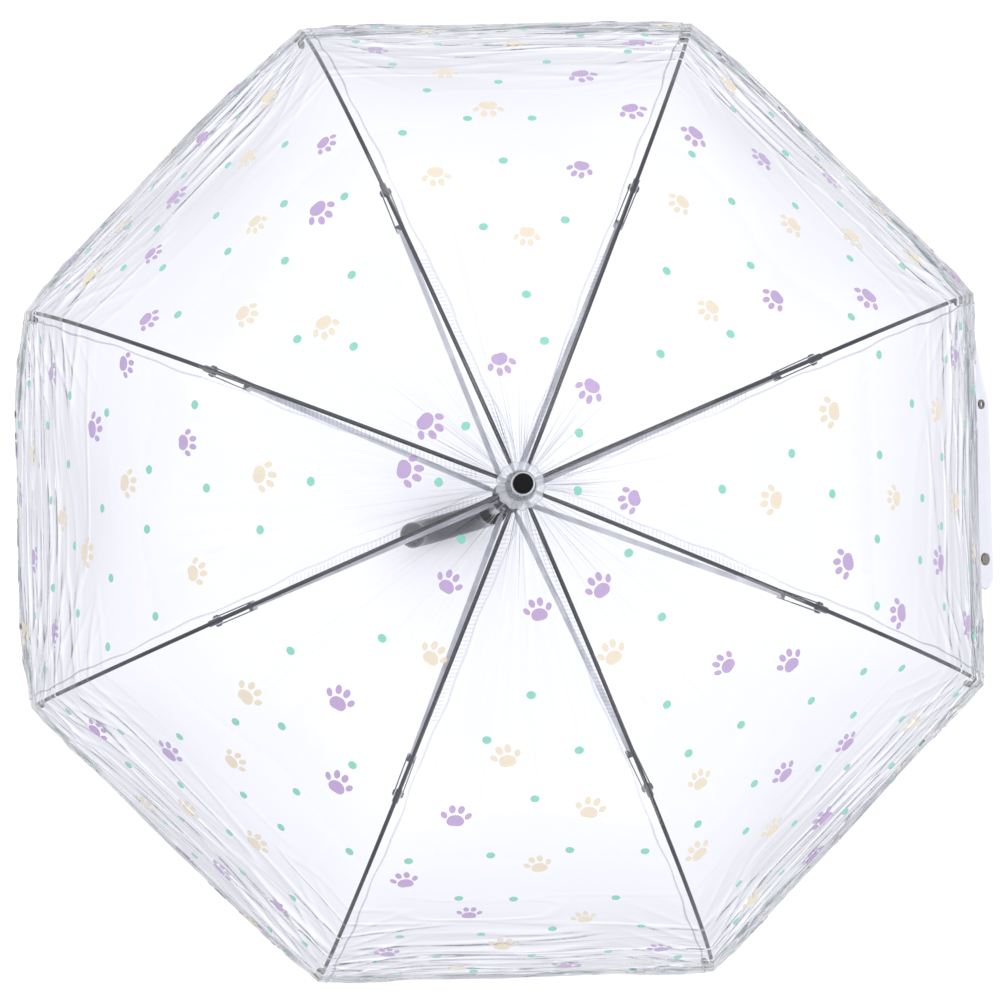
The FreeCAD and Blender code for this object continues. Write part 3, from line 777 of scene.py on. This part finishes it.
def prints(rib):
    """All the ink on one panel, in one piece with a slot for each ink."""
    inks = [lavender_ink, cream_ink, mint_ink, black_ink, purple_ink]
    points, faces, slots = [], [], []
    for gore, side in ((rib, 1), (rib + 1, -1)):
        rows = hem_spots(side)
        here = [[spot for spot in spots if spot[0] * side > 0] for spots in gore_prints(gore)]
        jobs = [
            (here[0], PAW, 0),
            (here[1], PAW, 1),
            (here[2], DOT, 2),
            (rows[::2], BONE, 3),
            (rows[1::2], PAW, 4),
        ]
        for spots, shape, slot in jobs:
            flat, new_faces = scattered(spots, shape, inks[slot])
            start = sum(len(p) for p in points)
            points.append(laid_on_film(gore, flat, PRINT_LIFT))
            faces += [tuple(start + v for v in f)[::-1] for f in new_faces]
            slots += [slot] * len(new_faces)
    made = mesh_object(f"prints_{rib + 1}", np.concatenate(points), faces, inks)
    made.data.polygons.foreach_set("material_index", slots)
    attach(made, rib)
    return made


def hem_band(rib):
    """The mint band printed round the hem, over the panel's whole width."""
    down = np.linspace(FILM_LENGTH - HEM_BAND, FILM_LENGTH, 8)
    shares = np.linspace(-1, 1, 2 * ACROSS_STEPS + 1)
    columns = [film_points(*gore_side(rib, share), down, PRINT_LIFT) for share in shares]
    points = np.stack(columns, axis=1).reshape(-1, 3)
    faces = grid_faces(len(down), len(shares), turn=True)
    made = mesh_object(f"hem_band_{rib + 1}", points, faces, [mint_band_ink])
    attach(made, rib)
    return made


SEAM_WIDTH = 8 * MM
TICK_STEP = 3.2 * MM
TICK_LENGTH = 6 * MM
LADDER_END = 175 * MM
FIRST_TICK = 6
SEAM_START = 6 * MM  # below the film's top edge
SEAM_STEPS = 240
# Across the bead: the share of the flange's width, and the share of the bead's height.
BEAD = [(0.86, 0.0), (0.9, 0.8), (0.94, 1.0), (0.98, 0.8), (1.02, 0.0)]
BEAD_HEIGHT = 0.5 * MM
TICK_RISE = 0.4 * MM


def seam(rib):
    """The weld beside a rib: a thin wavy bead at the flange's edge, and ticks near the crown."""
    side = -1 if rib % 2 == 0 else 1
    gore = rib if side < 0 else rib + 1
    down = np.linspace(FILM_START + SEAM_START, FILM_LENGTH, SEAM_STEPS)
    edge = half_width(down)
    wave = 0.9 * MM * np.sin(down / (19 * MM)) + 0.5 * MM * np.sin(down / (7.3 * MM) + rib)
    width = np.minimum(SEAM_WIDTH + wave, 0.7 * edge)
    points = []
    for share, rise in BEAD:
        place = (edge - share * width) * -side
        points.append(film_points(gore, place / edge, down, SEAM_LIFT + rise * BEAD_HEIGHT))
    rows = np.stack(points, axis=1).reshape(-1, 3)
    faces = grid_faces(len(down), len(BEAD), turn=side > 0)
    made = mesh_object(f"seam_{rib + 1}", rows, faces, [seam_vinyl])
    attach(made, rib)
    count = int((LADDER_END - FILM_START) / TICK_STEP)
    spots = []
    for n in range(FIRST_TICK, count):
        d = FILM_START + n * TICK_STEP
        place = (half_width(d) - 0.5 * SEAM_WIDTH) * -side
        spots.append((place, d, TICK_LENGTH, 0.0))
    flat, new_faces = scattered(spots, TICK, seam_vinyl)
    ticks = mesh_object(
        f"weld_ticks_{rib + 1}",
        laid_on_film(gore, flat, SEAM_LIFT + TICK_RISE),
        [f[::-1] for f in new_faces],
        [seam_vinyl],
    )
    attach(ticks, rib)
    return [made, ticks]


# ---- the pleated clear rosette under the ferrule ----
ROSETTE_BORE = 5.3 * MM
ROSETTE_RADIUS = 16.2 * MM
FRILL_START = 9.5 * MM  # the pleats grow from this radius outwards
FRILL_SWING = 0.5 * MM
FRILL_RISE = 0.55 * MM
PLEATS = 26
ROSETTE_STEPS = 12 * PLEATS


def rosette():
    """A low ring whose rim is gathered into pleats."""
    low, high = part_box("canopy_washer")
    outer, around = ROSETTE_RADIUS, ROSETTE_STEPS
    # Its outline: radius, and share of the height, along the underside and back over the top.
    profile = [
        (ROSETTE_BORE, 0.15),
        (8 * MM, 0.1),
        (11 * MM, 0.12),
        (14 * MM, 0.12),
        (outer, 0.05),
        (outer + 0.5 * MM, 0.2),
        (outer, 0.34),
        (13.5 * MM, 0.7),
        (11 * MM, 0.93),
        (8 * MM, 0.97),
        (ROSETTE_BORE, 0.97),
    ]
    height = high[2] - low[2]
    points = []
    for r, level in profile:
        for step in range(around):
            a = 2 * math.pi * step / around
            frill = max(0.0, (r - FRILL_START) / (outer - FRILL_START))
            wave = math.cos(PLEATS * a)
            radius = r + FRILL_SWING * frill * math.cos(PLEATS * a / 2 + 1)
            z = low[2] + 0.1 * MM + height * 0.96 * level + FRILL_RISE * frill * (wave + 1)
            points.append((radius * math.cos(a), radius * math.sin(a), z))
    faces = []
    rows = len(profile)
    for r in range(rows):
        for step in range(around):
            after = (step + 1) % around
            this_row = r * around
            next_row = (r + 1) % rows * around
            faces.append((this_row + step, this_row + after, next_row + after, next_row + step))
    made = mesh_object("rosette", points, faces, [rosette_vinyl])
    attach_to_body(made, "shaft")
    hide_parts("canopy_washer")


# ---- the closing strap ----
STRAP_THICK = 0.8 * MM
STRAP_WIDTH = 24 * MM
STRAP_TAPER = 60 * MM
STRAP_POINT = 3 * MM  # width left at the end of the taper
STRAP_BEAD = 0.25 * MM


def strap():
    """Clear strap with a rounded end and a tapered one, and a welded bead along both sides."""
    low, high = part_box("closure_strap")
    start, end = low[1], high[1]
    width = STRAP_WIDTH
    direction = np.array([1, 0, -1]) / math.sqrt(2)
    outward = np.array([1, 0, 1]) / math.sqrt(2)
    base = np.array([low[0], 0, high[2] - STRAP_THICK / math.sqrt(2)])
    along = np.linspace(start, end, 90)
    nose = width / 2
    shares = np.array([0, 0.03, 0.07, 0.2, 0.5, 0.8, 0.93, 0.97, 1.0])
    rim = STRAP_BEAD * np.array([0, 1, 0, 0, 0, 0, 0, 1, 0])
    rows = []
    for y in along:
        near = min(1.0, (y - start) / nose)
        half = math.sqrt(max(1 - (1 - near) ** 2, 0.0004))
        first, last = nose * (1 - half), nose * (1 + half)
        taper = max(0.0, (y - (end - STRAP_TAPER)) / STRAP_TAPER)
        last = last - taper * (width - STRAP_POINT)
        for share, bead in zip(shares, rim):
            p = first + share * (last - first)
            rise = STRAP_THICK + bead + 0.25 * MM * math.sin(y / (17 * MM)) * taper
            rows.append(base + np.array([0, y, 0]) + direction * p + outward * rise)
    faces = grid_faces(len(along), len(shares))
    made = mesh_object("strap_sheet", rows, faces, [strap_vinyl])
    wall = made.modifiers.new("wall", "SOLIDIFY")
    wall.thickness = STRAP_THICK * 0.9
    wall.offset = -1
    attach(made, 0)
    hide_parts("closure_strap")


# ---- finishes for the pieces whose CAD shape is right ----
FORK_START = 205 * MM  # radius from the shaft where the stretcher's riveted fork begins


def darken_fork(node):
    """The fork is a pressing of its own on the real stretcher, left in dark phosphate."""
    node.data.materials.append(phosphated)
    last = len(node.data.materials) - 1
    for face in node.data.polygons:
        if math.hypot(face.center[0], face.center[1]) > FORK_START:
            face.material_index = last


def finish_frame():
    finishes = {
        "shaft_tube": plated_tube,
        "ferrule": bright_ferrule,
        "ferrule_cap": gloss_abs,
        "top_notch": black_abs,
        "crown_ring": bare_wire,
        "crown_pin": bare_wire,
        "runner_stop": bare_wire,
        "handle": charcoal_crook,
        "handle_collar": gloss_abs,
        "top_spring": bare_wire,
        "bottom_spring": bare_wire,
        "runner_sleeve": black_abs,
        "runner_notch": black_abs,
        "runner_ring": bare_wire,
        "snap_cap": antique_snap,
        "snap_socket": antique_snap,
    }
    for number in range(1, RIB_COUNT + 1):
        finishes[f"rib_{number}"] = enamelled_rod
        finishes[f"rib_tip_{number}"] = gloss_abs
        finishes[f"rib_joint_{number}"] = phosphated
        finishes[f"stretcher_{number}"] = zinc_channel
    for name, finish in finishes.items():
        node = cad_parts[name]
        for slot in node.material_slots:
            slot.material = finish
        if name.startswith("stretcher_"):
            darken_fork(node)


# ---- floor, light and camera ----
def white_room():
    """A bright room, whiter overhead, with soft uneven patches for the film to mirror."""
    world = bpy.data.worlds.new("white_room")
    world.use_nodes = True
    tree = world.node_tree
    tree.nodes.clear()
    out = tree.nodes.new("ShaderNodeOutputWorld")
    place = add(tree, "ShaderNodeTexCoord")
    parts = add(tree, "ShaderNodeSeparateXYZ", i0=place.outputs["Generated"])
    patches = add(
        tree, "ShaderNodeTexNoise", Vector=place.outputs["Generated"], Scale=3.2, Detail=1.0
    )
    rising = add(
        tree, "ShaderNodeMapRange", i0=parts.outputs[2], i1=0.0, i2=0.9, i3=0.7, i4=1.3
    )
    uneven = add(
        tree, "ShaderNodeMapRange", i0=patches.outputs[0], i1=0.42, i2=0.58, i3=0.7, i4=1.15
    )
    level = add(
        tree,
        "ShaderNodeMath",
        {"operation": "MULTIPLY"},
        i0=rising.outputs[0],
        i1=uneven.outputs[0],
    )
    glow = add(
        tree, "ShaderNodeBackground", Color=linear("F8F9FC"), Strength=level.outputs[0]
    )
    tree.links.new(glow.outputs[0], out.inputs[0])
    return world


FLOOR_REACH = 60.0
FLOOR_GAP = 2 * MM
LAMP_AIM = (0, 0, 0.45)
# Soft lamps: name, place, width and depth in metres, power in watts.
LAMPS = [
    ("overhead", (0.9, 1.2, 3.4), 2.4, 2.4, 30),
    ("left_card", (-2.3, 0.9, 1.9), 1.6, 0.7, 8),
    ("right_card", (2.2, -1.2, 2.1), 1.5, 0.6, 8),
    ("near_card", (0.5, -2.4, 1.5), 1.4, 0.6, 6),
    ("far_card", (-0.6, 2.5, 1.4), 1.4, 0.6, 6),
]


def studio():
    floor_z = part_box("handle")[0][2] - FLOOR_GAP
    size = FLOOR_REACH
    corners = [(-size, -size), (size, -size), (size, size), (-size, size)]
    floor = mesh_object("floor", [(x, y, floor_z) for x, y in corners], [(0, 1, 2, 3)], [])
    material, tree, out = new_material("white_paper_floor")
    surface = add(
        tree, "ShaderNodeBsdfPrincipled", Base_Color=linear("F7F7F8"), Roughness=0.9
    )
    tree.links.new(surface.outputs[0], out.inputs[0])
    floor.data.materials.append(material)
    bpy.context.scene.world = white_room()
    for name, place, wide, deep, power in LAMPS:
        lamp = bpy.data.lights.new(name, "AREA")
        lamp.shape = "RECTANGLE"
        lamp.size = wide
        lamp.size_y = deep
        lamp.energy = power
        holder = bpy.data.objects.new(name, lamp)
        holder.location = place
        aim = np.array(LAMP_AIM) - np.array(place)
        holder.rotation_euler = Vector(aim).to_track_quat("-Z", "Y").to_euler()
        bpy.context.scene.collection.objects.link(holder)
    bpy.context.scene.view_settings.view_transform = "Standard"


def camera():
    """Looks down on the open umbrella from nearly straight above."""
    data = bpy.data.cameras.new("camera")
    data.lens = 108.8
    data.sensor_width = 36
    data.clip_end = 50
    made = bpy.data.objects.new("camera", data)
    made.location = (-0.0759, -0.0660, 2.7939)
    made.rotation_euler = (math.radians(1.61), math.radians(-1.68), math.radians(-1.24))
    bpy.context.scene.collection.objects.link(made)
    bpy.context.scene.camera = made


camera()
finish_frame()
for rib_number in range(RIB_COUNT):
    sheet = film_panel(rib_number)
    extras = [
        prints(rib_number),
        *seam(rib_number),
        hem_band(rib_number),
    ]
rosette()
strap()
studio()
